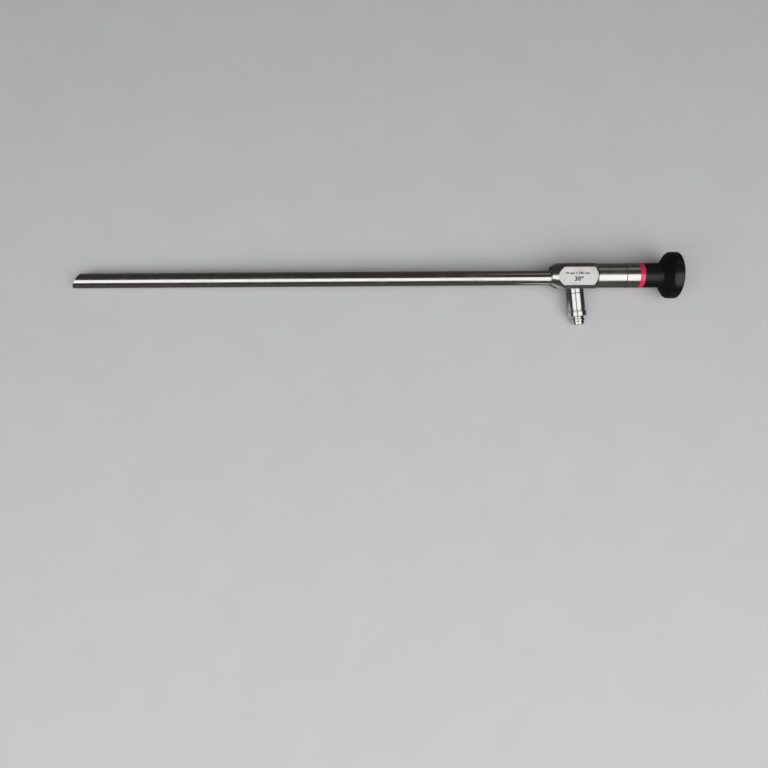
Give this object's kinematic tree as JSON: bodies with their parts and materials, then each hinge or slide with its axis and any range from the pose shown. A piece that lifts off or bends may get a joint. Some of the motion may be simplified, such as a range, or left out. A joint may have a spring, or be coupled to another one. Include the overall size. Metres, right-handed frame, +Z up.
{
  "type": "rigid endoscope",
  "caption": "Rigid straight endoscope with an oblique tip, slim steel insertion tube, square body, inclined light post, red angle ring and flared black eyecup.",
  "frame": {"origin": "on the table below the middle of the instrument's box, lying as it rests on tip, light post collar and eyecup rim", "axes": "+X along the instrument towards the eyecup, +Z up from the table, light post towards -Y"},
  "size_m": [0.417, 0.0488, 0.0318],
  "materials": {
    "tube_steel": "polished stainless steel",
    "body_steel": "satin stainless steel",
    "barrel_steel": "polished stainless steel",
    "post_steel": "polished stainless steel",
    "red_ring": "satin crimson",
    "black_moulding": "satin black",
    "dark_metal": "blackened steel",
    "inner_metal": "turned steel",
    "glass": "polished optical glass",
    "fibres": "bundled glass fibres, polished end"
  },
  "bodies": {
    "root": {"outer_tube": "tube_steel", "body_block": "body_steel", "barrel": "barrel_steel", "rear_sleeve": "barrel_steel", "angle_ring": "red_ring", "eyecup": "black_moulding", "window_frame": "dark_metal", "eye_window": "glass", "light_post_base": "post_steel", "light_post_sleeve": "post_steel", "light_post_tip": "post_steel", "fibre_bundle": "fibres", "fibre_ferrule": "inner_metal", "tip_window": "glass", "distal_cell": "dark_metal", "front_lens": "glass", "front_prism": "glass", "rear_prism": "glass", "objective_cell": "inner_metal", "objective_front_lens": "glass", "objective_rear_lens": "glass", "objective_retainer": "inner_metal", "optic_tube": "inner_metal", "spacer_1": "inner_metal", "rod_lens_1": "glass", "spacer_2": "inner_metal", "rod_lens_2": "glass", "spacer_3": "inner_metal", "rod_lens_3": "glass", "spacer_4": "inner_metal", "rod_lens_4": "glass", "spacer_5": "inner_metal", "rod_lens_5": "glass", "spacer_6": "inner_metal", "rod_lens_6": "glass", "train_retainer": "inner_metal", "ocular_cell": "inner_metal", "field_stop": "dark_metal", "ocular_front_lens": "glass", "ocular_rear_lens": "glass", "ocular_retainer": "inner_metal", "cell_lock_ring": "inner_metal"}
  },
  "joints": []
}
